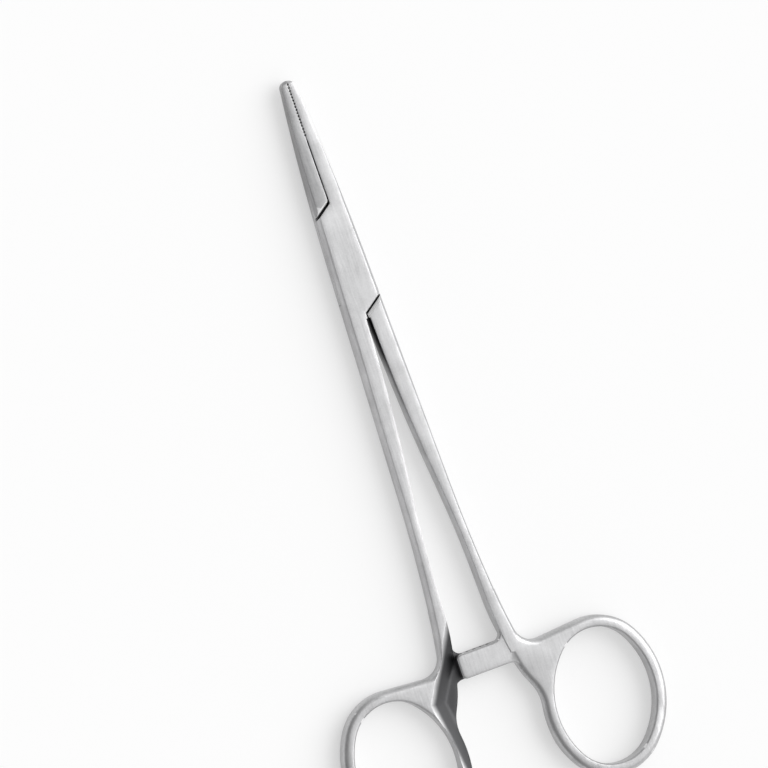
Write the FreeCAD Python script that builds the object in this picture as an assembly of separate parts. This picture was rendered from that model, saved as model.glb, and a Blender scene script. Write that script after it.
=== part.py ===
# Hemostat forceps with straight, half-serrated jaws, closed as they lie at rest.
# Two forged halves cross in a box lock: the tongue of one passes through a slot in the other.
# A flush pin holds them. Frame: +Y to the tips, +X to the right, +Z up. The origin is where
# the pin's axis meets the lock's flat underside, on which the forceps rest. Millimetres.
import FreeCAD, Part
import math
import os
from FreeCAD import Vector

# Lengths, from the pin's axis
JAW_LENGTH = 38.8
OVERALL_LENGTH = 160.0

# Box lock
LOCK_WIDTH = 8.4
LOCK_THICKNESS = 4.7
LOCK_CORNER = 12.15            # where the slanting steps meet the centre line, up and down
STEP_ANGLE = 35.5              # slant of the steps, degrees from square
STEP_GAP = 0.50                # open joint seen along each step
STEP_CHAMFER = 0.42
TONGUE_THICKNESS = 1.8
TONGUE_CLEARANCE = 0.05        # above and below the tongue
SLOT_END_CLEARANCE = 0.12      # between the tongue's edges and the ends of the slot
LOCK_FLAT_UP = 6.0             # flat faces run from here on the jaw side
LOCK_FLAT_DOWN = 14.0          # to here on the handle side
SIDE_RADIUS = 3.5              # rounding of the jaws' and lock's sides, in cross-section

# Pin
PIN_DIAMETER = 3.0
PIN_CLEARANCE = 0.04           # all round, in the tongue

# Jaws
TIP_WIDTH = 3.1
TIP_THICKNESS = 2.0
CORNER_THICKNESS = 4.33        # of the thinning jaws at the upper steps
NOSE_LENGTH = 0.9              # rounded end of the tips, seen from the side
NOSE_BELLY = 0.72              # its fullness: height of the rounding at NOSE_FRONT of its length
NOSE_FRONT = 0.3
JAW_GAP = 0.27                 # between the smooth parts of the jaws
LAND_GAP = 0.12                # between the flat lands of the serrations
GROOVE_PITCH = 0.69
GROOVE_WIDTH = 0.44
GROOVE_DEPTH = 0.20            # in each jaw; the two rows of grooves face each other
GROOVE_COUNT = 17
FIRST_GROOVE = 0.85            # from the tip

# Shanks. Their sides are chains of arcs, outer and inner, through these places.
# The outer side is straight from the pin to the bend
CROTCH_GAP = 0.34              # between the shanks just below the lock
CROTCH_LEAN = 0.03             # of the inner sides where they leave the crotch
SHANK_BEND = 51.0              # below the pin, where the shanks turn outwards
BEND_OUTER = 5.78              # outer side from the centre line there
SHANK_WIDTH = 2.85             # from there to the flare
FLARE_OUTER = 7.38             # outer side where the flare starts
FLARE_LENGTH = 10.5            # from there to the top of the ratchet bar
FOOT_ABOVE_BAR = 3.0           # the flare ends here, beside the ring
SHANK_TO_RING = 0.75           # from the outer side to the line of the ring's inner side
INNER_FOOT = 6.3               # inner side from the centre line at the bar's bottom
INNER_RADIUS = 9.0             # the shanks' inner sides are nearly flat in cross-section
HANDLE_THICKNESS = 4.2
HANDLE_TAPER = 30.0            # length over which the lock's thickness runs out

# Finger rings
HOLE_WIDTH = 21.9
HOLE_LENGTH = 29.0
HOLE_END_RADIUS = 9.1          # arcs at the ends of the oval hole
RING_WIRE = 2.45               # width of the ring's bar, seen from above
RING_TILT = 7.0                # long axes lean apart towards the tips, degrees
RING_OFFSET = 22.5             # centre of each ring from the centre line
RING_TOP_JOIN = 101.5          # where the web leaves the ring's oval: directions of its normal
RING_SIDE_JOIN = 178.4
RING_ROUND = 0.43 * SHANK_WIDTH   # rounding of the outer edges
HOLE_BEVEL = 0.30              # along the edges of the hole
WEB_ROUND = 4.3                # hollow corner between shank and ring
WEB_INSET = 0.08               # the web's edge starts this far inside the shank's side

# Ratchet
BAR_REACH = 5.3                # each bar ends this far beyond the centre line
BAR_HEIGHT = 5.2
BAR_ABOVE_RING = 18.5          # top edge of the bars above the ring's centre
BAR_FACE_GAP = 0.10            # between the crests of the two bars
BAR_SKIN = 0.15                # the bar's back lies this far under the handle's face
NOTCH_PITCH = 1.5
NOTCH_DEPTH = 0.65
NOTCH_COUNT = 5
NOTCH_LAND = 0.22              # flat left between two notches
BAR_END_LAND = 0.25            # flat at the bar's end, before the first notch
BAR_END_ROUND = 1.0
BAR_ROOT_ROUND = 2.0
BAR_BEVEL = 0.30               # along the edges of the bar's back
SEAT_CLEARANCE = 0.50          # round the end of the other half's bar
FACET_ANGLE = 31.0             # slope of the ground facet beside the ratchet
FACET_LEAN = 30.0              # its edge, degrees from the instrument's axis
RIM_FACET_LEAN = -8.0          # the same for the facet that goes on along the ring's hole
RIM_FACET_END = 13.8           # this facet comes out at the top here, from the centre line,
RIM_FACET_DROP = 8.2           # so far below the top of the ratchet bar
FACET_ROUND = 1.6              # hollow rounding between seat and facet

# Worked-out places
HALF_LOCK = LOCK_WIDTH / 2
LOCK_HALF_THICK = LOCK_THICKNESS / 2
HANDLE_HALF_THICK = HANDLE_THICKNESS / 2
STEP_SLOPE = math.tan(math.radians(STEP_ANGLE))
STEP_RISE = STEP_GAP / 2 / math.cos(math.radians(STEP_ANGLE))
SHANK_TOP = -LOCK_CORNER - 1.0
RING_HALF_WIDTH = HOLE_WIDTH / 2 + RING_WIRE
TILT = math.radians(RING_TILT)
END_CENTRE = HOLE_LENGTH / 2 - HOLE_END_RADIUS
SIDE_ARC_RADIUS = ((HOLE_WIDTH ** 2 + HOLE_LENGTH ** 2) / 4 - HOLE_LENGTH * HOLE_END_RADIUS) / (
    HOLE_WIDTH - 2 * HOLE_END_RADIUS)
SIDE_CENTRE = SIDE_ARC_RADIUS - HOLE_WIDTH / 2
ARC_MEETS = math.degrees(math.atan2(END_CENTRE, SIDE_CENTRE))
RING_REACH = END_CENTRE * math.cos(TILT) + HOLE_END_RADIUS + RING_WIRE
RING_Y = JAW_LENGTH - OVERALL_LENGTH + RING_REACH
BAR_TOP = RING_Y + BAR_ABOVE_RING
BAR_BOTTOM = BAR_TOP - BAR_HEIGHT
FAR = 60.0                     # beyond every side
ROOM = 0.15                    # blanks stand this much proud of their final faces
REACH = 12.0                   # a side's block reaches this far inwards
RUN_ON = 6.0                   # and runs on this far past its ends
SIDE_SAG = 0.02                # rounded sides follow their arcs in straight pieces, this close
MITRE_ROOM = 1.0               # each piece is made this much longer, then mitred


def extrude(points, low, high):
    """Straight-sided block over an outline seen from above."""
    corners = [Vector(x, y, low) for x, y in points]
    face = Part.Face(Part.makePolygon(corners + corners[:1]))
    return face.extrude(Vector(0, 0, high - low))


def chain(points, direction):
    """Arcs from point to point that run on smoothly, and the direction at their end."""
    arcs = []
    for start, end in zip(points, points[1:]):
        span = end - start
        length = span.Length
        along = span.normalize()
        half_turn = direction.getAngle(along) / 2
        if half_turn < 1e-6:
            arcs.append(Part.LineSegment(start, end).toShape())
            continue
        middle = (direction + along).normalize() * (length / 2 / math.cos(half_turn))
        arcs.append(Part.Arc(start, start + middle, end).toShape())
        direction = along * (2 * direction.dot(along)) - direction
    return arcs, direction


def leaning(slope):
    """Direction down the instrument that leans outwards by a slope."""
    return Vector(slope, -1, 0).normalize()


def outer_points():
    """Places that the right outer side passes, from the tip to beside the ring."""
    return [Vector(TIP_WIDTH / 2, JAW_LENGTH, 0), Vector(HALF_LOCK, 0, 0),
            Vector(BEND_OUTER, -SHANK_BEND, 0), Vector(FLARE_OUTER, BAR_TOP + FLARE_LENGTH, 0),
            Vector(RING_OFFSET - RING_HALF_WIDTH - SHANK_TO_RING, BAR_TOP + FOOT_ABOVE_BAR, 0)]


def inner_points():
    """Places that the right shank's inner side passes, from the crotch to the bar's bottom."""
    return [Vector(CROTCH_GAP / 2, SHANK_TOP, 0), Vector(BEND_OUTER - SHANK_WIDTH, -SHANK_BEND, 0),
            Vector(FLARE_OUTER - SHANK_WIDTH, BAR_TOP + FLARE_LENGTH, 0),
            Vector(INNER_FOOT, BAR_BOTTOM, 0)]


def outer_side():
    """The right outer side's arcs, and their direction at the end."""
    points = outer_points()
    jaw = (points[1] - points[0]).normalize()
    straight = (points[2] - points[1]).normalize()
    return chain(points, jaw * (2 * jaw.dot(straight)) - straight)


def stops(arcs):
    """Points along a chain of arcs, with short straight pieces between them."""
    points = [arcs[0].valueAt(arcs[0].FirstParameter)]
    for arc in arcs:
        first, last = arc.FirstParameter, arc.LastParameter
        bent = hasattr(arc.Curve, "Radius")
        count = math.ceil(arc.Length / math.sqrt(8 * arc.Curve.Radius * SIDE_SAG)) if bent else 1
        points += [arc.valueAt(first + (last - first) * (piece + 1) / count)
                   for piece in range(count)]
    return points


def swept_side(arcs, start, end, radius, facing):
    """Everything inwards of a side that bulges outwards along a chain of arcs.

    The chain runs on straight at both ends, so that other shapes can trim it. Each straight
    piece is a bar with one round side, mitred where it meets the next.
    """
    points = stops(arcs)
    points = [points[0] - start * RUN_ON] + points + [points[-1] + end * RUN_ON]
    ways = [(second - first).normalize() for first, second in zip(points, points[1:])]
    up = Vector(0, 0, LOCK_HALF_THICK + ROOM)
    sag = radius - math.sqrt(radius ** 2 - up.z ** 2)
    bars = []
    for piece, along in enumerate(ways):
        outwards = Vector(-along.y, along.x, 0) * facing
        origin = points[piece] - along * MITRE_ROOM
        edge, back = origin - outwards * sag, origin - outwards * REACH
        profile = Part.Face(Part.Wire([
            Part.Arc(edge + up, origin, edge - up).toShape(),
            Part.LineSegment(edge - up, back - up).toShape(),
            Part.LineSegment(back - up, back + up).toShape(),
            Part.LineSegment(back + up, edge + up).toShape(),
        ]))
        length = (points[piece + 1] - points[piece]).Length + 2 * MITRE_ROOM
        bar = profile.extrude(along * length)
        if piece > 0:
            bar = bar.common(half_space(points[piece], ways[piece - 1] + along))
        if piece < len(ways) - 1:
            bar = bar.common(half_space(points[piece + 1], (along + ways[piece + 1]) * -1))
        bars.append(bar)
    return bars[0].fuse(bars[1:])


def lock_blank():
    """Jaws and lock of both halves as one bar, before the halves are parted."""
    arcs, end = outer_side()
    right = swept_side(arcs, arc_start(arcs), end, SIDE_RADIUS, 1)
    left = right.mirror(Vector(0, 0, 0), Vector(1, 0, 0))
    above = Part.makeBox(2 * FAR, 2 * FAR, 2 * FAR, Vector(-FAR, SHANK_TOP, -FAR))
    return right.common(left).common(above)


def arc_start(arcs):
    """Direction at the start of a chain."""
    return arcs[0].tangentAt(arcs[0].FirstParameter)


def shank_blank():
    """Right shank, from the lock down into the web beside the ring."""
    outer, outer_end = outer_side()
    inner, inner_end = chain(inner_points(), leaning(CROTCH_LEAN))
    body = swept_side(outer, arc_start(outer), outer_end, SIDE_RADIUS, 1)
    body = body.common(swept_side(inner, arc_start(inner), inner_end, INNER_RADIUS, -1))
    low_end = BAR_BOTTOM + 2.0
    return body.common(Part.makeBox(2 * FAR, SHANK_TOP - low_end, 2 * FAR,
                                    Vector(-FAR, low_end, -FAR)))


def thickness_profile():
    """Side view of the whole instrument, as a slab that trims top and bottom."""
    tip = Vector(0, JAW_LENGTH, 0)
    shoulder = Vector(0, JAW_LENGTH - NOSE_LENGTH, TIP_THICKNESS / 2)
    belly = Vector(0, JAW_LENGTH - NOSE_FRONT * NOSE_LENGTH, NOSE_BELLY * shoulder.z)
    flat_start = Vector(0, LOCK_FLAT_UP, LOCK_HALF_THICK)
    corner = Vector(0, LOCK_CORNER, CORNER_THICKNESS / 2)
    flat_end = Vector(0, -LOCK_FLAT_DOWN, LOCK_HALF_THICK)
    slope_end = Vector(0, -LOCK_FLAT_DOWN - HANDLE_TAPER, HANDLE_HALF_THICK)
    bottom = Vector(0, -OVERALL_LENGTH, HANDLE_HALF_THICK)
    jaws = chain([flat_start, corner, shoulder], Vector(0, 1, 0))[0]
    slope = chain([flat_end, (flat_end + slope_end) * 0.5, slope_end], Vector(0, -1, 0))[0]
    upper = jaws + slope + [
        Part.Arc(tip, belly, shoulder).toShape(),
        Part.LineSegment(flat_start, flat_end).toShape(),
        Part.LineSegment(slope_end, bottom).toShape(),
    ]
    mirror = [edge.mirror(Vector(0, 0, 0), Vector(0, 0, 1)) for edge in upper]
    end = Part.LineSegment(bottom, Vector(0, bottom.y, -bottom.z)).toShape()
    outline = Part.Wire(Part.__sortEdges__(upper + [end] + mirror))
    slab = Part.Face(outline).extrude(Vector(2 * FAR, 0, 0))
    slab.translate(Vector(-FAR, 0, 0))
    return slab


def nose_outline():
    """Plan view of the rounded tips, as a block that trims the blank."""
    radius = TIP_WIDTH / 2
    disc = Part.makeCylinder(radius, 2 * FAR, Vector(0, JAW_LENGTH - radius, -FAR))
    below = extrude([(-FAR, JAW_LENGTH - radius), (FAR, JAW_LENGTH - radius),
                     (FAR, -FAR), (-FAR, -FAR)], -FAR, FAR)
    return disc.fuse(below)


def parting_line(facing):
    """Inner edge of one jaw from the tip down: serrations, then the smooth relieved part."""
    land = facing * LAND_GAP / 2
    root = facing * (LAND_GAP / 2 + GROOVE_DEPTH)
    half = GROOVE_WIDTH / 2
    edge = [(land, JAW_LENGTH + 1.0)]
    y = JAW_LENGTH - FIRST_GROOVE
    for groove in range(GROOVE_COUNT):
        edge += [(land, y + half), (root, y), (land, y - half)]
        y -= GROOVE_PITCH
    edge.append((land, y))
    edge.append((facing * JAW_GAP / 2, y - GROOVE_PITCH))
    return edge


def upper_step(x, rise):
    """Height of the slanting step above the pin, at x."""
    return LOCK_CORNER + rise + x * STEP_SLOPE


def female_outline():
    """Right jaw, whole lock and root of the left shank, seen from above."""
    gap = JAW_GAP / 2
    inner = CROTCH_GAP / 2
    return ([(FAR, JAW_LENGTH + 1.0)] + parting_line(1) +
            [(gap, upper_step(gap, -STEP_RISE)), (-FAR, upper_step(-FAR, -STEP_RISE)),
             (-FAR, SHANK_TOP), (-inner, SHANK_TOP), (-inner, -upper_step(inner, -STEP_RISE)),
             (FAR, -upper_step(-FAR, -STEP_RISE))])


def male_outline():
    """Left jaw, tongue and root of the right shank, seen from above."""
    gap = JAW_GAP / 2
    inner = CROTCH_GAP / 2
    high = LOCK_CORNER - SLOT_END_CLEARANCE
    return ([(-FAR, JAW_LENGTH + 1.0)] + parting_line(-1) +
            [(-gap, high), (0, high), (FAR, high - FAR * STEP_SLOPE),
             (FAR, SHANK_TOP), (inner, SHANK_TOP), (inner, -high), (0, -high),
             (-FAR, -high + FAR * STEP_SLOPE)])


def slot():
    """Opening through the female half that the tongue passes."""
    half = TONGUE_THICKNESS / 2 + TONGUE_CLEARANCE
    end = LOCK_CORNER - FAR * STEP_SLOPE
    return extrude([(-FAR, LOCK_CORNER), (0, LOCK_CORNER), (FAR, end), (FAR, -LOCK_CORNER),
                    (0, -LOCK_CORNER), (-FAR, -end)], -half, half)


def cheek_pockets():
    """Room above and below the tongue for the female half's cheeks."""
    band = [(-FAR, upper_step(-FAR, STEP_RISE)), (FAR, upper_step(FAR, STEP_RISE)),
            (FAR, -upper_step(-FAR, STEP_RISE)), (-FAR, -upper_step(FAR, STEP_RISE))]
    half = TONGUE_THICKNESS / 2
    return [extrude(band, half, FAR), extrude(band, -FAR, -half)]


def step_chamfers():
    """Bevels along the edges of the male half's four steps."""
    cutters = []
    over = 0.5
    for end, top in ((1, CORNER_THICKNESS / 2), (-1, LOCK_HALF_THICK)):
        # Square to the step, seen along it: the bevel's line, and room outside it.
        near = LOCK_CORNER * math.cos(math.radians(STEP_ANGLE)) + STEP_GAP / 2
        for face in (1, -1):
            points = [Vector(0, end * (near - over), face * (top - STEP_CHAMFER - over)),
                      Vector(0, end * (near + STEP_CHAMFER + over), face * (top + over)),
                      Vector(0, end * (near - over), face * (top + over))]
            wedge = Part.Face(Part.makePolygon(points + points[:1])).extrude(Vector(20, 0, 0))
            wedge.translate(Vector(-10, 0, 0))
            wedge.rotate(Vector(0, 0, 0), Vector(0, 0, 1), STEP_ANGLE)
            cutters.append(wedge)
    return cutters


def oval_point(facing, beyond=0.0):
    """Point of the right hole's oval, or beyond it, whose outward normal faces that way."""
    turn = math.remainder(facing, 360.0)
    if abs(turn) < ARC_MEETS:
        x, y, radius = -SIDE_CENTRE, 0.0, SIDE_ARC_RADIUS
    elif abs(turn) > 180.0 - ARC_MEETS:
        x, y, radius = SIDE_CENTRE, 0.0, SIDE_ARC_RADIUS
    else:
        x, y, radius = 0.0, math.copysign(END_CENTRE, turn), HOLE_END_RADIUS
    x += (radius + beyond) * math.cos(math.radians(turn))
    y += (radius + beyond) * math.sin(math.radians(turn))
    return Vector(RING_OFFSET + x * math.cos(TILT) + y * math.sin(TILT),
                  RING_Y - x * math.sin(TILT) + y * math.cos(TILT), 0)


def oval_direction(facing):
    """Direction along the oval, counter-clockwise, where its normal faces that way."""
    turn = math.radians(facing) - TILT
    return Vector(-math.sin(turn), math.cos(turn), 0)


def oval_arcs(start, end, beyond=0.0):
    """The oval's arcs from one normal to another, counter-clockwise, in degrees."""
    joins = [whole + part for whole in (0.0, 180.0, 360.0) for part in (-ARC_MEETS, ARC_MEETS)]
    stops = [start] + [stop for stop in joins if start < stop < end] + [end]
    return [Part.Arc(oval_point(a, beyond), oval_point((a + b) / 2, beyond),
                     oval_point(b, beyond)).toShape() for a, b in zip(stops, stops[1:])]


def crossing(start, direction, other, other_direction):
    """Where two straight lines meet."""
    spread = direction.x * other_direction.y - direction.y * other_direction.x
    apart = other - start
    reach = (apart.x * other_direction.y - apart.y * other_direction.x) / spread
    return start + direction * reach


def joint(start, leaving, end, arriving):
    """Where two arcs meet that lead smoothly from one place and direction to another."""
    span = end - start
    turn = 2 * (1 - leaving.dot(arriving))
    along = span.dot(leaving + arriving)
    reach = (math.sqrt(along ** 2 + turn * span.dot(span)) - along) / turn
    return (start + end + (leaving - arriving) * reach) * 0.5


def arc_x(arc, y):
    """Distance from the centre line at which an arc passes a height."""
    circle = arc.Curve
    middle = arc.valueAt((arc.FirstParameter + arc.LastParameter) / 2)
    reach = math.sqrt(circle.Radius ** 2 - (y - circle.Center.y) ** 2)
    return circle.Center.x + math.copysign(reach, middle.x - circle.Center.x)


def web_and_ring():
    """Right finger ring and the web that joins it to the shank."""
    outer, down = outer_side()
    inner, inner_end = chain(inner_points(), leaning(CROTCH_LEAN))
    outer_edge = outer[-1].translated(Vector(-WEB_INSET, 0, 0))
    inner_edge = inner[-1].translated(Vector(WEB_INSET, 0, 0))
    inset = Vector(WEB_INSET, 0, 0)
    outer_top, outer_foot = outer_points()[-2] - inset, outer_points()[-1] - inset
    inner_top, inner_foot = inner_points()[-2] + inset, inner_points()[-1] + inset
    top_join = oval_point(RING_TOP_JOIN, RING_WIRE)
    low_join = oval_point(RING_SIDE_JOIN, RING_WIRE)

    # Hollow corner: an arc that touches the shank's outer side and the ring's top line.
    along = oval_direction(RING_TOP_JOIN) * -1
    corner = crossing(outer_foot, down, top_join, along)
    turn = down.getAngle(along)
    reach = WEB_ROUND * math.tan(turn / 2)
    bend_start = corner - down * reach
    bend_end = corner + along * reach
    middle = (along - down).normalize()
    bend_mid = corner + middle * (WEB_ROUND / math.cos(turn / 2) - WEB_ROUND)

    # Inner edge: from the ring up to the shank, behind the ratchet bar.
    climb = oval_direction(RING_SIDE_JOIN) * -1
    bend = joint(low_join, climb, inner_foot, inner_end * -1)
    inner_web = chain([low_join, bend, inner_foot], climb)[0]
    outline = Part.Wire(Part.__sortEdges__([
        outer_edge,
        Part.LineSegment(outer_foot, bend_start).toShape(),
        Part.Arc(bend_start, bend_mid, bend_end).toShape(),
        Part.LineSegment(bend_end, top_join).toShape(),
        inner_edge,
        Part.LineSegment(inner_top, outer_top).toShape(),
    ] + inner_web + oval_arcs(RING_SIDE_JOIN, 360.0 + RING_TOP_JOIN, RING_WIRE)))
    hole = Part.Wire(oval_arcs(ARC_MEETS, 360.0 + ARC_MEETS))
    plate = Part.Face(outline).cut(Part.Face(hole))
    plate.translate(Vector(0, 0, -HANDLE_HALF_THICK))
    body = plate.extrude(Vector(0, 0, HANDLE_THICKNESS))
    inside = Part.Face(Part.Wire(oval_arcs(ARC_MEETS, 360.0 + ARC_MEETS, RING_WIRE / 2)))
    inside.translate(Vector(0, 0, -FAR))
    inside = inside.extrude(Vector(0, 0, 2 * FAR))

    def flat_edges(within):
        """Edges of the top and bottom faces, round the hole or round the outside."""
        return [edge for edge in body.Edges if edge.BoundBox.ZLength < 0.001
                and edge.BoundBox.YMin < outer_top.y - 0.01
                and inside.isInside(edge.Vertexes[0].Point, 0.001, True) == within]

    body = body.makeFillet(RING_ROUND, flat_edges(False))
    return body.makeChamfer(HOLE_BEVEL, flat_edges(True))


def ratchet_bar():
    """Right half's bar, in the upper half of the thickness, notched underneath."""
    low = BAR_FACE_GAP / 2
    high = HANDLE_HALF_THICK - BAR_SKIN
    tip = -BAR_REACH
    flare = BAR_ROOT_ROUND
    inner = chain(inner_points(), leaning(CROTCH_LEAN))[0][-1]
    top_root = arc_x(inner, BAR_TOP + flare) + WEB_INSET
    root = top_root + 1.2 * flare
    bend = flare * (1 - math.sqrt(0.5))
    nib = BAR_END_ROUND
    nip = nib * (1 - math.sqrt(0.5))
    points = {
        "tip_low": Vector(tip, BAR_BOTTOM + nib, low),
        "tip_high": Vector(tip, BAR_TOP - nib, low),
        "top_start": Vector(tip + nib, BAR_TOP, low),
        "top_end": Vector(top_root - flare, BAR_TOP, low),
        "shank": Vector(top_root, BAR_TOP + flare, low),
        "inside_top": Vector(root, BAR_TOP + flare, low),
        "inside_low": Vector(root, BAR_BOTTOM - flare, low),
        "under": Vector(top_root + flare, BAR_BOTTOM - flare, low),
        "low_end": Vector(top_root, BAR_BOTTOM, low),
        "low_start": Vector(tip + nib, BAR_BOTTOM, low),
    }
    p = points
    edges = [
        Part.LineSegment(p["tip_low"], p["tip_high"]).toShape(),
        Part.Arc(p["tip_high"], Vector(tip + nip, BAR_TOP - nip, low), p["top_start"]).toShape(),
        Part.LineSegment(p["top_start"], p["top_end"]).toShape(),
        Part.Arc(p["top_end"], Vector(top_root - bend, BAR_TOP + bend, low),
                 p["shank"]).toShape(),
        Part.LineSegment(p["shank"], p["inside_top"]).toShape(),
        Part.LineSegment(p["inside_top"], p["inside_low"]).toShape(),
        Part.LineSegment(p["inside_low"], p["under"]).toShape(),
        Part.Arc(p["under"], Vector(top_root + flare - bend, BAR_BOTTOM - bend, low),
                 p["low_end"]).toShape(),
        Part.LineSegment(p["low_end"], p["low_start"]).toShape(),
        Part.Arc(p["low_start"], Vector(tip + nip, BAR_BOTTOM + nip, low),
                 p["tip_low"]).toShape(),
    ]
    bar = Part.Face(Part.Wire(edges)).extrude(Vector(0, 0, high - low))
    crown = [edge for edge in bar.Edges
             if edge.BoundBox.ZMin > high - 0.001 and edge.BoundBox.XMax < top_root + 0.01]
    return bar.makeChamfer(BAR_BEVEL, crown)


def notches():
    """Saw-tooth grooves across the underside of the right half's bar."""
    low = BAR_FACE_GAP / 2
    cutters = []
    for tooth in range(NOTCH_COUNT):
        steep = -BAR_REACH + BAR_END_LAND + (tooth + 1) * NOTCH_PITCH
        shallow = steep - NOTCH_PITCH + NOTCH_LAND
        points = [Vector(steep, -FAR, low - 0.5), Vector(steep, -FAR, low + NOTCH_DEPTH),
                  Vector(shallow, -FAR, low), Vector(shallow, -FAR, low - 0.5)]
        groove = Part.Face(Part.makePolygon(points + points[:1]))
        groove = groove.extrude(Vector(0, BAR_TOP - BAR_BOTTOM, 0))
        groove.translate(Vector(0, BAR_BOTTOM + FAR, 0))
        cutters.append(groove)
    return cutters


def half_space(point, normal):
    """Everything on the far side of a plane, as a large block."""
    block = Part.makeBox(2 * FAR, 2 * FAR, 2 * FAR)
    block.translate(Vector(-FAR, -FAR, 0))
    turn = FreeCAD.Rotation(Vector(0, 0, 1), normal)
    block.rotate(Vector(0, 0, 0), turn.Axis, math.degrees(turn.Angle))
    block.translate(point)
    return block


def facet(place, lean):
    """Half space under a ground facet that passes a place and leans from the long axis."""
    lean, rise = math.radians(lean), math.radians(FACET_ANGLE)
    across = Vector(-math.cos(lean), -math.sin(lean), 0)
    return half_space(place, across * math.sin(rise) + Vector(0, 0, -math.cos(rise)))


def bar_seat():
    """Room under the right shank for the left half's bar, with the ground facets beside it."""
    level = BAR_FACE_GAP / 2
    beside = Vector(BAR_REACH + SEAT_CLEARANCE, BAR_TOP - BAR_END_ROUND, level)
    rim = Vector(RIM_FACET_END, BAR_TOP - RIM_FACET_DROP, -HANDLE_HALF_THICK)
    seat = half_space(Vector(0, BAR_TOP, level), Vector(0, 0, -1))
    cutter = seat.common(facet(beside, FACET_LEAN)).common(facet(rim, RIM_FACET_LEAN))

    # The seat runs into the facets over a hollow rounding.
    hollow = [side for side in cutter.Edges
              if side.BoundBox.ZMin > level - 0.001 and side.BoundBox.ZMax < level + 0.001
              and side.BoundBox.Center.x > -FAR / 2 and side.BoundBox.YLength > 1.0
              and side.BoundBox.XLength < side.BoundBox.YLength]
    cutter = cutter.makeFillet(FACET_ROUND, hollow)
    return cutter.common(half_space(Vector(0, BAR_TOP + FLARE_LENGTH, 0), Vector(0, -1, 0)))


def handle():
    """Right shank, web, ring and ratchet bar in one; the left one is this turned over."""
    body = shank_blank().common(thickness_profile()).fuse(web_and_ring())
    body = body.cut(bar_seat())
    bar = ratchet_bar()
    for groove in notches():
        bar = bar.cut(groove)
    return body.fuse(bar)


def turned_over(shape):
    """The same shape turned half a turn about the instrument's long axis."""
    copy = shape.copy()
    copy.rotate(Vector(0, 0, 0), Vector(0, 1, 0), 180)
    return copy


def female_half():
    """Right jaw, slotted lock with its two cheeks, and the left handle."""
    blank = lock_blank().common(thickness_profile()).common(nose_outline())
    front = blank.common(extrude(female_outline(), -FAR, FAR)).cut(slot())
    front = front.cut(Part.makeCylinder(PIN_DIAMETER / 2, 2 * FAR, Vector(0, 0, -FAR)))
    return front.fuse(turned_over(handle()))


def male_half():
    """Left jaw, thin tongue through the lock, and the right handle."""
    blank = lock_blank().common(thickness_profile()).common(nose_outline())
    front = blank.common(extrude(male_outline(), -FAR, FAR))
    for cutter in cheek_pockets() + step_chamfers():
        front = front.cut(cutter)
    bore = PIN_DIAMETER / 2 + PIN_CLEARANCE
    front = front.cut(Part.makeCylinder(bore, 2 * FAR, Vector(0, 0, -FAR)))
    return front.fuse(handle())


def pivot_pin():
    """Flush pin through both cheeks and the tongue."""
    return Part.makeCylinder(PIN_DIAMETER / 2, LOCK_THICKNESS, Vector(0, 0, -LOCK_HALF_THICK))


def main():
    os.makedirs("parts", exist_ok=True)
    nodes = {"female_half": female_half(), "male_half": male_half(), "pivot_pin": pivot_pin()}
    for name, shape in nodes.items():
        shape.translate(Vector(0, 0, LOCK_HALF_THICK))
        solids = shape.Solids
        box = shape.BoundBox
        print(name, "solids", len(solids), "valid", shape.isValid(),
              "volume", round(shape.Volume, 2), "x", round(box.XMin, 2), round(box.XMax, 2),
              "y", round(box.YMin, 2), round(box.YMax, 2),
              "z", round(box.ZMin, 2), round(box.ZMax, 2))
        solids[0].exportStep("parts/" + name + ".step")


if __name__ == "__main__":
    main()
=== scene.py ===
"""Satin steel hemostat forceps lying closed, dressed over their CAD frame.

Units are metres in the frame's own axes: +Y to the jaw tips, +X to the right, +Z up.
Both halves and the pin are the CAD shapes, with their triangles joined and shaded as steel.
"""

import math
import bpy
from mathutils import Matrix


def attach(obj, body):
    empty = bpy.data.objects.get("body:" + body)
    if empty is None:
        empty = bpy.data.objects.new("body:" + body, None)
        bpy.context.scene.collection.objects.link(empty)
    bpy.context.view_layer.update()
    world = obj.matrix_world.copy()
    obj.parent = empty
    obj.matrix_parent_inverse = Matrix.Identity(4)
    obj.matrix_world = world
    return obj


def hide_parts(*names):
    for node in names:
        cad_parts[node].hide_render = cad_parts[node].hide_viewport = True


bl_info = {
    "name": "Hemostat Forceps",
    "version": (1, 0, 0),
    "blender": (4, 5, 0),
    "location": "View3D > Sidebar > Forceps",
    "description": "Builds satin steel hemostat forceps and the studio they are seen in",
    "category": "Add Mesh",
}

import bpy
import numpy as np
from bpy.props import FloatProperty, FloatVectorProperty, PointerProperty
from mathutils import Matrix, Vector

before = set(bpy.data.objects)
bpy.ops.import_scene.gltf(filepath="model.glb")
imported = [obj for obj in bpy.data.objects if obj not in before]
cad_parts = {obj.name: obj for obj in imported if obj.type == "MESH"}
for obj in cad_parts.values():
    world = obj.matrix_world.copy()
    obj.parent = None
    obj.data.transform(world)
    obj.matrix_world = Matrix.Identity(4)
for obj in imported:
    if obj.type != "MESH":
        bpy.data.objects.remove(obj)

FEMALE_BODY = "female_body"
MALE_BODY = "male_body"
MIDDLE_HEIGHT = 0.00235                 # the middle of the thickness

# The photograph: a square of this many pixels, and where the forceps lie in it
PICTURE = 768
AXIS_LEAN = math.radians(18.7)          # the long axis leans this far to the left
ACROSS_TILT = math.radians(14.0)        # seen from the left by this much
ALONG_TILT = math.radians(4.5)          # and from the tips' side by this much
PIXELS_PER_METRE = 4814.0               # at the point in the picture's middle
MIDDLE = Vector((-0.00076, -0.02735, MIDDLE_HEIGHT))
CAMERA_DISTANCE = 1.6
SENSOR = 36.0                           # in millimetres, as the lens
NEAREST, FARTHEST = 0.05, 20.0          # that the camera sees

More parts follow.
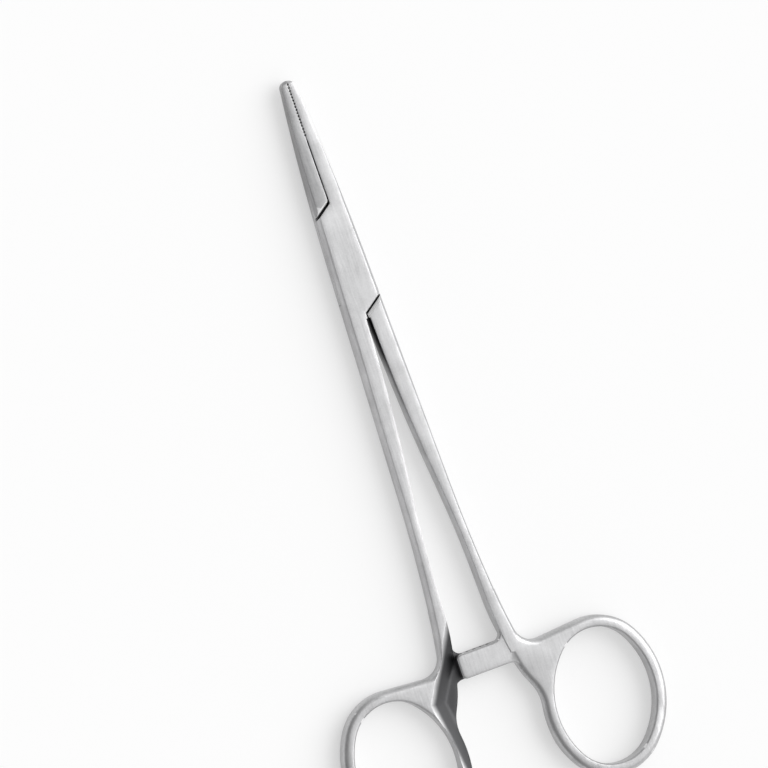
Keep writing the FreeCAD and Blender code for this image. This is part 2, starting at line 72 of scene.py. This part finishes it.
# Marks on the faces of the halves, which the steel reads
GROUND = "ground"
BEVELS = "bevels"
JAW = "jaw"

# Where those faces lie in the frame, and which way they face
JAW_FOOT = 0.0118                       # the left jaw lies past this
RELIEF_TOP = -0.065                     # and the ground relief behind this
LEVEL_REACH = 0.001                     # level ground is this near the middle height
LEVEL_FACE = 0.84                       # the upright part of its normal is above this
FACET_SLOPE = math.radians(31.0)
FACET_LEANS = (math.radians(30.0), math.radians(-8.0))
STEP_ANGLE = math.radians(35.5)
BEVEL_SLOPE = math.sqrt(0.5)
FACING_LIMIT = math.radians(1.5)        # a normal may be this far off
MERGE_GRID = 1e6                        # places per metre at which corners become one

# Finish of the steel. Noise sizes are in waves per metre. Each pair of levels says where a
# mask is empty and where it is full.
NOISE_ROUGHNESS = 0.6
GRAIN_SIZE = 2600.0
GRAIN_DEPTH = 0.00004
STROKE_SHARE = 0.6                      # of the grain, the rest is speckle
STROKE_TURN = math.radians(4.0)         # from the long axis
STROKE_STRETCH = 0.06                   # noise along a stroke, against across it
BLOTCH_SIZE = 170.0
BLOTCH_SHARE = 0.4
BRIGHT_LEVELS = (0.36, 0.64)            # of the grain and the blotches together
ROUGHER, SMOOTHER = 0.07, 0.05          # than the satin, in dark and in bright grain
EDGE_SAMPLES = 6
SHARP_LEVELS = (0.94, 0.82)             # cosine between the rounded and the true normal
RUBBED_SIZE = 500.0
RUBBED_LEVELS = (0.3, 0.55)
PIN_LEVELS = (0.0020, 0.0026)           # distance from the pin's axis, past its rim
JOINT_SAMPLES = 8
JOINT_LEVELS = (0.78, 0.18)             # share of the room that a face sees
RELIEF_LEVELS = (0.0022, 0.0012)        # distance from the middle height
METAL_LEVELS = (1.15, 0.0)              # of the bevels' mark: the bevels lose their metal, so their bright colour shows as a painted highlight
LEFT_JAW_PAINTED_SHADE = 0.62                        # painted shade: the left jaw's steel darkened against the rest

# Studio: the floor, the lamp, and where the room's light changes with its direction
FLOOR_REACH = 3.0
FLOOR_HEIGHT = -0.0002
FLOOR_ROUGHNESS = 0.9
FLOOR_SPECULAR = 0.1
LAMP_SIDE = Vector((0.80, 0.15, 0.72))  # towards the broad lamp
ABOVE_LEVELS = (0.10, 0.30)             # upwards, past the horizon
TOP_LEVELS = (0.985, 0.85)              # upwards, away from straight overhead
LEFT_LEVELS = (-0.14, -0.42)            # across, into the shaded side
RIGHT_LEVELS = (-0.30, 0.60)            # across, into the brighter light

# Where a Mix node keeps its two ends and its result, for each kind of value
MIX_PLACES = {"FLOAT": (2, 3, 0), "VECTOR": (4, 5, 1), "RGBA": (6, 7, 2)}


class SteelSettings(bpy.types.PropertyGroup):
    """Colours and polish of the forged steel."""

    steel_colour: FloatVectorProperty(
        name="Steel colour", description="Colour of the satin steel",
        default=(0.485, 0.485, 0.49), min=0.0, max=1.0, subtype="COLOR")
    edge_colour: FloatVectorProperty(
        name="Edge colour", description="Colour of the edges that handling has polished",
        default=(0.86, 0.86, 0.86), min=0.0, max=1.0, subtype="COLOR")
    # painted shade: a dark colour for the shade deep in joints and hollows
    joint_shade_colour: FloatVectorProperty(
        name="Joint colour", description="Colour deep in the joints, where no polish reaches",
        default=(0.02, 0.02, 0.021), min=0.0, max=1.0, subtype="COLOR")
    # painted highlight: the bevels along the lock's steps get a bright plain colour
    bevel_highlight_colour: FloatVectorProperty(
        name="Bevel colour", description="Colour of the bright bevels along the lock's steps",
        default=(0.85, 0.85, 0.85), min=0.0, max=1.0, subtype="COLOR")
    # painted shade: a dark colour for a shadow and a dark reflection on the ground relief
    relief_shade_colour: FloatVectorProperty(
        name="Ground colour", description="Colour of the ground relief beside the ratchet",
        default=(0.065, 0.065, 0.067), min=0.0, max=1.0, subtype="COLOR")
    satin: FloatProperty(
        name="Satin", description="Roughness of the satin faces",
        default=0.36, min=0.0, max=1.0, subtype="FACTOR")
    grain: FloatProperty(
        name="Grain", description="Depth of the fine grain",
        default=0.3, min=0.0, max=1.0, subtype="FACTOR")
    unevenness: FloatProperty(
        name="Unevenness", description="How far strokes and blotches change the colour",
        default=0.16, min=0.0, max=1.0, subtype="FACTOR")
    edge_polish: FloatProperty(
        name="Edge polish", description="How far handling has brightened the edges",
        default=0.75, min=0.0, max=1.0, subtype="FACTOR")
    edge_round: FloatProperty(
        name="Edge round", description="Radius that the finishing leaves on the edges",
        default=0.00022, min=0.0, max=0.001, subtype="DISTANCE", precision=5)
    crown_round: FloatProperty(
        name="Crown round", description="How far from their edges the flat faces fall away",
        default=0.0018, min=0.0, max=0.005, subtype="DISTANCE", precision=4)
    crown: FloatProperty(
        name="Crown", description="How far the flat faces fall away towards their edges",
        default=0.17, min=0.0, max=1.0, subtype="FACTOR")
    # how near another face must be for the painted shade in a joint
    joint_shade_reach: FloatProperty(
        name="Joint reach", description="How near another face darkens a joint",
        default=0.0018, min=0.0, max=0.01, subtype="DISTANCE", precision=4)
    crisp_angle: FloatProperty(
        name="Crisp angle", description="Edges sharper than this stay crisp",
        default=math.radians(26.0), min=0.0, max=math.pi, subtype="ANGLE")


class StudioSettings(bpy.types.PropertyGroup):
    """Floor, background and light."""

    floor_colour: FloatVectorProperty(
        name="Floor colour", description="Colour of the plain floor",
        default=(0.93, 0.93, 0.93), min=0.0, max=1.0, subtype="COLOR")
    floor_white: FloatProperty(
        name="Floor white", description="Share of plain white in what is seen of the floor",
        default=0.5, min=0.0, max=1.0, subtype="FACTOR")
    lamp_strength: FloatProperty(
        name="Lamp strength", description="Strength of the broad lamp from the right",
        default=1.8, min=0.0)
    lamp_softness: FloatProperty(
        name="Lamp softness", description="How wide that lamp looks from the forceps",
        default=math.radians(60.0), min=0.0, max=math.pi, subtype="ANGLE")
    room_light: FloatProperty(
        name="Room light", description="Strength of the light from overhead on the right",
        default=0.97, min=0.0)
    overhead_left: FloatProperty(
        name="Overhead left", description="Strength of the light from overhead on the left",
        default=0.5, min=0.0)
    shaded_side: FloatProperty(
        name="Shaded side", description="Strength of the room's darker left side",
        default=0.34, min=0.0)


def node_group(name, inputs, outputs, vectors=()):
    """A new shader node group with named inputs and outputs: its nodes, links and two ends."""
    group = bpy.data.node_groups.new(name, "ShaderNodeTree")
    sides = group.interface
    for label, value in inputs:
        made = sides.new_socket(name=label, in_out="INPUT", socket_type="NodeSocketFloat")
        made.default_value = value
    for label in outputs:
        sides.new_socket(name=label, in_out="OUTPUT", socket_type="NodeSocketFloat")
    for label in vectors:
        sides.new_socket(name=label, in_out="OUTPUT", socket_type="NodeSocketVector")
    start = group.nodes.new("NodeGroupInput")
    end = group.nodes.new("NodeGroupOutput")
    return group.nodes, group.links, start, end


def shared(nodes, name):
    """One of the shared node groups, placed in a material."""
    made = nodes.new("ShaderNodeGroup")
    made.node_tree = bpy.data.node_groups[name]
    return made


def give(links, value, socket):
    """Gives a socket its value, another socket's or a plain one."""
    if isinstance(value, bpy.types.NodeSocket):
        links.new(value, socket)
    else:
        socket.default_value = value


def noise(nodes, links, place, size, detail):
    """Noise on a place, of a size and with more or less fine detail."""
    made = nodes.new("ShaderNodeTexNoise")
    give(links, size, made.inputs["Scale"])
    made.inputs["Detail"].default_value = detail
    made.inputs["Roughness"].default_value = NOISE_ROUGHNESS
    links.new(place, made.inputs["Vector"])
    return made.outputs["Fac"]


def map_range(nodes, links, value, low, high, soft=False):
    """The value taken from low..high to 0..1, in an even or a soft ramp."""
    made = nodes.new("ShaderNodeMapRange")
    if soft:
        made.interpolation_type = "SMOOTHSTEP"
    made.inputs["From Min"].default_value = low
    made.inputs["From Max"].default_value = high
    links.new(value, made.inputs["Value"])
    return made.outputs["Result"]


def arithmetic(nodes, links, operation, *values):
    """One sum on sockets or numbers."""
    made = nodes.new("ShaderNodeMath")
    made.operation = operation
    for socket, value in zip(made.inputs, values):
        give(links, value, socket)
    return made.outputs["Value"]


def product(nodes, links, result, *others):
    """All the values multiplied, in their order."""
    for value in others:
        result = arithmetic(nodes, links, "MULTIPLY", result, value)
    return result


def on_vectors(nodes, links, operation, output, *values):
    """One sum on vectors, each a socket or a plain one. The output is Vector or Value."""
    made = nodes.new("ShaderNodeVectorMath")
    made.operation = operation
    for socket, value in zip(made.inputs, values):
        give(links, value, socket)
    return made.outputs[output]


def blended(nodes, links, factor, first, second, kind="FLOAT"):
    """Value, vector or colour between two, by a factor. Each is a socket or a plain one."""
    made = nodes.new("ShaderNodeMix")
    made.data_type = kind
    low, high, result = MIX_PLACES[kind]
    give(links, factor, made.inputs[0])
    give(links, first, made.inputs[low])
    give(links, second, made.inputs[high])
    return made.outputs[result]


def coloured(nodes, links, mask, first, second):
    """Colour between two, by a mask. Each is a socket or a plain colour."""
    ends = [end if isinstance(end, bpy.types.NodeSocket) else (*end, 1.0)
            for end in (first, second)]
    return blended(nodes, links, mask, *ends, "RGBA")


def marked(nodes, name):
    """Mask of the faces that carry a mark."""
    made = nodes.new("ShaderNodeAttribute")
    made.attribute_name = name
    return made.outputs["Fac"]


def satin_grain():
    """Grain of satin steel: fine speckle, strokes along the instrument and faint blotches."""
    nodes, links, start, end = node_group(
        "satin_grain", [("Size", GRAIN_SIZE), ("Streak", STROKE_SHARE)], ["Height", "Shade"])
    place = nodes.new("ShaderNodeTexCoord").outputs["Object"]
    size = start.outputs["Size"]
    speckle = noise(nodes, links, place, size, 3.0)
    stretch = nodes.new("ShaderNodeMapping")
    stretch.inputs["Rotation"].default_value = (0.0, 0.0, STROKE_TURN)
    stretch.inputs["Scale"].default_value = (1.0, STROKE_STRETCH, 1.0)
    links.new(place, stretch.inputs["Vector"])
    strokes = noise(nodes, links, stretch.outputs["Vector"], size, 4.0)
    blotches = noise(nodes, links, place, BLOTCH_SIZE, 2.0)
    height = blended(nodes, links, start.outputs["Streak"], speckle, strokes)
    links.new(height, end.inputs["Height"])
    uneven = blended(nodes, links, BLOTCH_SHARE, height, blotches)
    links.new(map_range(nodes, links, uneven, *BRIGHT_LEVELS), end.inputs["Shade"])


def eased_edges():
    """Edges rounded by finishing: the rounded normal, and a mask of the sharp ones.

    Near the edges the flat faces fall away a little too, as hand finishing leaves them, so
    the normal is a blend of a narrow rounding and a share of a wide one. Both leave out the
    pin, which is ground flush with the lock.
    """
    nodes, links, start, end = node_group(
        "eased_edges",
        [("Radius", 0.0002), ("Crown radius", 0.001), ("Crown", 0.3), ("Amount", 0.5)],
        ["Mask"], vectors=["Normal"])
    narrow, wide = nodes.new("ShaderNodeBevel"), nodes.new("ShaderNodeBevel")
    narrow.samples = wide.samples = EDGE_SAMPLES
    links.new(start.outputs["Radius"], narrow.inputs["Radius"])
    links.new(start.outputs["Crown radius"], wide.inputs["Radius"])
    eased = blended(nodes, links, start.outputs["Crown"], narrow.outputs["Normal"],
                    wide.outputs["Normal"], "VECTOR")
    eased = on_vectors(nodes, links, "NORMALIZE", "Vector", eased)
    true = nodes.new("ShaderNodeNewGeometry").outputs["Normal"]
    alike = on_vectors(nodes, links, "DOT_PRODUCT", "Value", narrow.outputs["Normal"], true)
    turned = map_range(nodes, links, alike, *SHARP_LEVELS)
    place = nodes.new("ShaderNodeTexCoord").outputs["Object"]
    across = on_vectors(nodes, links, "MULTIPLY", "Vector", place, (1.0, 1.0, 0.0))
    from_pin = on_vectors(nodes, links, "LENGTH", "Value", across)
    beside_pin = map_range(nodes, links, from_pin, *PIN_LEVELS)
    links.new(blended(nodes, links, beside_pin, true, eased, "VECTOR"), end.inputs["Normal"])
    patches = noise(nodes, links, place, RUBBED_SIZE, 3.0)
    rubbed = map_range(nodes, links, patches, *RUBBED_LEVELS)
    links.new(product(nodes, links, turned, rubbed, beside_pin, start.outputs["Amount"]),
              end.inputs["Mask"])


def shaded_joints():
    """Mask of painted shade in joints and hollows, from how much of the room other faces hide.
    """
    nodes, links, start, end = node_group("shaded_joints", [("Reach", 0.002)], ["Mask"])
    room = nodes.new("ShaderNodeAmbientOcclusion")
    room.samples = JOINT_SAMPLES
    links.new(start.outputs["Reach"], room.inputs["Distance"])
    links.new(map_range(nodes, links, room.outputs["AO"], *JOINT_LEVELS, soft=True),
              end.inputs["Mask"])


def painted_relief_shade():
    """Mask of the painted shade on the ground relief, a painted shadow and dark reflection,
    from the faces marked ground: full in its depth.

    It grows from the handle's flat face down to the ratchet's level, by the distance from
    the middle of the thickness.
    """
    nodes, links, start, end = node_group(
        "painted_relief_shade", [("Middle", MIDDLE_HEIGHT)], ["Mask"])
    place = nodes.new("ShaderNodeTexCoord").outputs["Object"]
    split = nodes.new("ShaderNodeSeparateXYZ")
    links.new(place, split.inputs["Vector"])
    height = arithmetic(nodes, links, "SUBTRACT", split.outputs["Z"], start.outputs["Middle"])
    height = arithmetic(nodes, links, "ABSOLUTE", height)
    depth = map_range(nodes, links, height, *RELIEF_LEVELS, soft=True)
    links.new(product(nodes, links, marked(nodes, GROUND), depth), end.inputs["Mask"])


def steel(name, settings, jaw_painted_shade):
    """Satin steel: grained, brighter on its polished edges, with painted shade in the relief,
    the joints and the left jaw, and a painted highlight on the lock's bevels.

    The jaw's painted shade darkens the faces marked as the left jaw.
    """
    made = bpy.data.materials.new(name)
    made.use_nodes = True
    nodes, links = made.node_tree.nodes, made.node_tree.links
    shader = nodes["Principled BSDF"]
    grain = shared(nodes, "satin_grain")
    edges = shared(nodes, "eased_edges")
    edges.inputs["Radius"].default_value = settings.edge_round
    edges.inputs["Amount"].default_value = settings.edge_polish
    edges.inputs["Crown radius"].default_value = settings.crown_round
    edges.inputs["Crown"].default_value = settings.crown
    relief = shared(nodes, "painted_relief_shade")
    joints = shared(nodes, "shaded_joints")
    joints.inputs["Reach"].default_value = settings.joint_shade_reach
    shades = []
    for strength in (1 - settings.unevenness, 1 + settings.unevenness):
        plain = [min(c * strength, 1.0) for c in settings.steel_colour]
        # painted shade: the left jaw's copy of the colour, darkened
        jaw_painted_dark = [c * jaw_painted_shade for c in plain]
        shades.append(coloured(nodes, links, marked(nodes, JAW), plain, jaw_painted_dark))
    colour = coloured(nodes, links, grain.outputs["Shade"], *shades)
    colour = coloured(nodes, links, edges.outputs["Mask"], colour, settings.edge_colour)
    # painted shade on the ground relief beside the ratchet, deeper further down
    colour = coloured(nodes, links, relief.outputs["Mask"], colour, settings.relief_shade_colour)
    # painted shade in the joints and hollows that other faces hide
    colour = coloured(nodes, links, joints.outputs["Mask"], colour, settings.joint_shade_colour)
    # painted highlight on the bevels along the lock's steps
    colour = coloured(nodes, links, marked(nodes, BEVELS), colour, settings.bevel_highlight_colour)
    links.new(colour, shader.inputs["Base Color"])
    # the bevels are not metal, so the painted highlight shows as plain bright colour
    links.new(map_range(nodes, links, marked(nodes, BEVELS), *METAL_LEVELS),
              shader.inputs["Metallic"])
    rough = nodes.new("ShaderNodeMapRange")
    rough.inputs["To Min"].default_value = settings.satin + ROUGHER
    rough.inputs["To Max"].default_value = settings.satin - SMOOTHER
    links.new(grain.outputs["Shade"], rough.inputs["Value"])
    links.new(rough.outputs["Result"], shader.inputs["Roughness"])
    bump = nodes.new("ShaderNodeBump")
    bump.inputs["Strength"].default_value = settings.grain
    bump.inputs["Distance"].default_value = GRAIN_DEPTH
    links.new(grain.outputs["Height"], bump.inputs["Height"])
    links.new(edges.outputs["Normal"], bump.inputs["Normal"])
    links.new(bump.outputs["Normal"], shader.inputs["Normal"])
    return made


def facing(normals, x, y, z):
    """Which normals lie within the facing limit of a direction."""
    return normals @ np.array([x, y, z]) > math.cos(FACING_LIMIT)


def mark_faces(mesh):
    """Marks the relief beside the ratchet, the bevels of the lock's steps, and the jaw.

    A face belongs to the relief below the bars' top end if it has the slope and lean of one
    of the two facets, on either side of the thickness, or lies level near the middle of it.
    The bevels slope by half a right angle, square to the steps.
    """
    normals = np.empty(len(mesh.polygons) * 3)
    centres = np.empty(len(mesh.polygons) * 3)
    mesh.polygons.foreach_get("normal", normals)
    mesh.polygons.foreach_get("center", centres)
    normals, centres = normals.reshape(-1, 3), centres.reshape(-1, 3)
    low = centres[:, 1] < RELIEF_TOP
    near_middle = np.abs(centres[:, 2] - MIDDLE_HEIGHT) < LEVEL_REACH
    ground = low & near_middle & (np.abs(normals[:, 2]) > LEVEL_FACE)
    bevels = np.zeros(len(normals), dtype=bool)
    for side in (1, -1):
        for lean in FACET_LEANS:
            ground |= low & facing(normals, side * math.cos(lean) * math.sin(FACET_SLOPE),
                                   -math.sin(lean) * math.sin(FACET_SLOPE),
                                   side * math.cos(FACET_SLOPE))
        for end in (1, -1):
            bevels |= facing(normals, end * math.sin(STEP_ANGLE) * BEVEL_SLOPE,
                             -end * math.cos(STEP_ANGLE) * BEVEL_SLOPE, side * BEVEL_SLOPE)
    for name, found in ((GROUND, ground), (BEVELS, bevels), (JAW, centres[:, 1] > JAW_FOOT)):
        marks = mesh.attributes.new(name, "FLOAT", "FACE")
        marks.data.foreach_set("value", found.astype(np.float32))


def joined_copy(name, node, crisp_angle):
    """The CAD node with its loose triangles joined at shared corners and shaded smooth.

    Corners within a thousandth of a millimetre become one vertex, triangles that lose a
    corner go, and edges that turn by more than the crisp angle stay crisp.
    """
    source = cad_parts[node].data
    places = np.empty(len(source.vertices) * 3)
    source.vertices.foreach_get("co", places)
    places = places.reshape(-1, 3)
    corners = np.empty(len(source.loops), dtype=np.int64)
    source.loops.foreach_get("vertex_index", corners)
    _, first, joined = np.unique(np.round(places * MERGE_GRID).astype(np.int64), axis=0,
                                 return_index=True, return_inverse=True)
    triangles = joined.reshape(-1)[corners].reshape(-1, 3)
    whole = ((triangles[:, 0] != triangles[:, 1]) & (triangles[:, 1] != triangles[:, 2])
             & (triangles[:, 2] != triangles[:, 0]))
    mesh = bpy.data.meshes.new(name)
    mesh.from_pydata(places[first], [], triangles[whole])
    mesh.update()
    mesh.polygons.foreach_set("use_smooth", np.ones(len(mesh.polygons), dtype=bool))
    mesh.set_sharp_from_angle(angle=crisp_angle)
    made = bpy.data.objects.new(name, mesh)
    bpy.context.scene.collection.objects.link(made)
    return made


def dress(context, name, node, body, jaw_painted_shade=1.0):
    """Puts the joined copy of a CAD node in its place, in steel."""
    settings = context.scene.forceps_steel
    made = joined_copy(name, node, settings.crisp_angle)
    mark_faces(made.data)
    made.data.materials.append(steel(name + "_steel", settings, jaw_painted_shade))
    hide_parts(node)
    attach(made, body)


def make_floor(context, settings):
    """A wide plain floor under the forceps.

    Part of what the camera and the steel see of it is plain white, as the photograph's
    background is, and the rest is lit and carries the shadow.
    """
    mesh = bpy.data.meshes.new("floor")
    corners = [(-FLOOR_REACH, -FLOOR_REACH, 0), (FLOOR_REACH, -FLOOR_REACH, 0),
               (FLOOR_REACH, FLOOR_REACH, 0), (-FLOOR_REACH, FLOOR_REACH, 0)]
    mesh.from_pydata(corners, [], [(0, 1, 2, 3)])
    floor = bpy.data.objects.new("floor", mesh)
    floor.location = (0, 0, FLOOR_HEIGHT)
    context.scene.collection.objects.link(floor)
    made = bpy.data.materials.new("floor")
    made.use_nodes = True
    nodes, links = made.node_tree.nodes, made.node_tree.links
    shader = nodes["Principled BSDF"]
    shader.inputs["Base Color"].default_value = (*settings.floor_colour, 1.0)
    shader.inputs["Roughness"].default_value = FLOOR_ROUGHNESS
    shader.inputs["Specular IOR Level"].default_value = FLOOR_SPECULAR
    rays = nodes.new("ShaderNodeLightPath")
    seen = rays.outputs["Is Camera Ray"]
    for ray in ("Is Glossy Ray", "Is Transmission Ray"):
        seen = arithmetic(nodes, links, "MAXIMUM", seen, rays.outputs[ray])
    white = nodes.new("ShaderNodeEmission")
    white.inputs["Color"].default_value = (1, 1, 1, 1)
    mix = nodes.new("ShaderNodeMixShader")
    links.new(product(nodes, links, seen, settings.floor_white), mix.inputs[0])
    links.new(shader.outputs["BSDF"], mix.inputs[1])
    links.new(white.outputs["Emission"], mix.inputs[2])
    links.new(mix.outputs["Shader"], nodes["Material Output"].inputs["Surface"])
    mesh.materials.append(made)


def make_lamp(context, settings):
    """One broad soft lamp from the right, at the same strength all over the floor."""
    lamp = bpy.data.lights.new("broad_lamp", "SUN")
    lamp.energy = settings.lamp_strength
    lamp.angle = settings.lamp_softness
    made = bpy.data.objects.new("broad_lamp", lamp)
    made.rotation_mode = "QUATERNION"
    made.rotation_quaternion = LAMP_SIDE.to_track_quat("Z", "Y")
    context.scene.collection.objects.link(made)


def make_room(context, settings):
    """Soft room: white at the horizon, brighter on the right than on the left overhead.

    The strength goes from 1 at the horizon to the overhead light higher up, which grows from
    left to right, and to the shaded side's where the direction points left at middle height.
    """
    world = bpy.data.worlds.new("studio")
    world.use_nodes = True
    nodes, links = world.node_tree.nodes, world.node_tree.links
    place = nodes.new("ShaderNodeTexCoord")
    split = nodes.new("ShaderNodeSeparateXYZ")
    links.new(place.outputs["Generated"], split.inputs["Vector"])
    above = map_range(nodes, links, split.outputs["Z"], *ABOVE_LEVELS, soft=True)
    off_top = map_range(nodes, links, split.outputs["Z"], *TOP_LEVELS, soft=True)
    left = map_range(nodes, links, split.outputs["X"], *LEFT_LEVELS, soft=True)
    shaded = product(nodes, links, above, off_top, left)
    right = map_range(nodes, links, split.outputs["X"], *RIGHT_LEVELS, soft=True)
    light = blended(nodes, links, right, settings.overhead_left, settings.room_light)
    light = blended(nodes, links, above, 1.0, light)
    light = blended(nodes, links, shaded, light, settings.shaded_side)
    backdrop = nodes["Background"]
    backdrop.inputs["Color"].default_value = (1, 1, 1, 1)
    links.new(light, backdrop.inputs["Strength"])
    context.scene.world = world


def make_camera(context):
    """Camera at the photograph's angle, framed on the same part of the forceps.

    The camera stands a little to the left and to the tips' side of straight above. The
    picture is then turned so that the long axis leans to the left as it does there.
    """
    back = Vector((-math.tan(ACROSS_TILT), math.tan(ALONG_TILT), 1.0)).normalized()
    along = Vector((0, 1, 0))
    along = (along - back * along.dot(back)).normalized()
    across = along.cross(back)
    right = across * math.cos(AXIS_LEAN) - along * math.sin(AXIS_LEAN)
    up = along * math.cos(AXIS_LEAN) + across * math.sin(AXIS_LEAN)
    lens = bpy.data.cameras.new("camera")
    lens.sensor_width = SENSOR
    lens.lens = PIXELS_PER_METRE * CAMERA_DISTANCE / PICTURE * SENSOR
    lens.clip_start = NEAREST
    lens.clip_end = FARTHEST
    camera = bpy.data.objects.new("camera", lens)
    turn = Matrix((right, up, back)).transposed().to_4x4()
    turn.translation = MIDDLE + back * CAMERA_DISTANCE
    camera.matrix_world = turn
    context.scene.collection.objects.link(camera)
    context.scene.camera = camera


class FORCEPS_OT_finishes(bpy.types.Operator):
    """Make the node groups that every finish uses"""

    bl_idname = "forceps.finishes"
    bl_label = "Finishes"

    def execute(self, context):
        satin_grain()
        eased_edges()
        shaded_joints()
        painted_relief_shade()
        return {"FINISHED"}


class FORCEPS_OT_female_half(bpy.types.Operator):
    """Dress the half with the slotted lock, the right jaw and the left ring"""

    bl_idname = "forceps.female_half"
    bl_label = "Female half"

    def execute(self, context):
        dress(context, "female_steel", "female_half", FEMALE_BODY)
        return {"FINISHED"}


class FORCEPS_OT_male_half(bpy.types.Operator):
    """Dress the half with the tongue, the left jaw and the right ring"""

    bl_idname = "forceps.male_half"
    bl_label = "Male half"

    def execute(self, context):
        dress(context, "male_steel", "male_half", MALE_BODY, LEFT_JAW_PAINTED_SHADE)
        return {"FINISHED"}


class FORCEPS_OT_pivot_pin(bpy.types.Operator):
    """Dress the flush pin in the lock"""

    bl_idname = "forceps.pivot_pin"
    bl_label = "Pivot pin"

    def execute(self, context):
        dress(context, "pin_steel", "pivot_pin", FEMALE_BODY)
        return {"FINISHED"}


class FORCEPS_OT_studio(bpy.types.Operator):
    """Make the floor, the broad lamp, the room's light and the camera"""

    bl_idname = "forceps.studio"
    bl_label = "Studio"

    def execute(self, context):
        settings = context.scene.forceps_studio
        make_floor(context, settings)
        make_lamp(context, settings)
        make_room(context, settings)
        make_camera(context)
        context.scene.view_settings.view_transform = "Standard"
        return {"FINISHED"}


class FORCEPS_PT_panel(bpy.types.Panel):
    """Steps that build the forceps, in order"""

    bl_idname = "FORCEPS_PT_panel"
    bl_label = "Hemostat Forceps"
    bl_space_type = "VIEW_3D"
    bl_region_type = "UI"
    bl_category = "Forceps"

    def draw(self, context):
        layout = self.layout
        for settings in (context.scene.forceps_steel, context.scene.forceps_studio):
            for name in settings.bl_rna.properties.keys():
                if name not in ("rna_type", "name"):
                    layout.prop(settings, name)
        for step in STEPS:
            layout.operator(step.bl_idname)


STEPS = (FORCEPS_OT_finishes, FORCEPS_OT_female_half, FORCEPS_OT_male_half,
         FORCEPS_OT_pivot_pin, FORCEPS_OT_studio)
CLASSES = (SteelSettings, StudioSettings) + STEPS + (FORCEPS_PT_panel,)


def register():
    """Makes the panel, its buttons and its settings known."""
    for made in CLASSES:
        bpy.utils.register_class(made)
    bpy.types.Scene.forceps_steel = PointerProperty(type=SteelSettings)
    bpy.types.Scene.forceps_studio = PointerProperty(type=StudioSettings)


def unregister():
    """Takes them away again."""
    del bpy.types.Scene.forceps_studio
    del bpy.types.Scene.forceps_steel
    for made in reversed(CLASSES):
        bpy.utils.unregister_class(made)


def main():
    """Builds the forceps and the studio."""
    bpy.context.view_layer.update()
    register()
    bpy.ops.forceps.finishes()
    bpy.ops.forceps.female_half()
    bpy.ops.forceps.male_half()
    bpy.ops.forceps.pivot_pin()
    bpy.ops.forceps.studio()


if __name__ == "__main__":
    main()
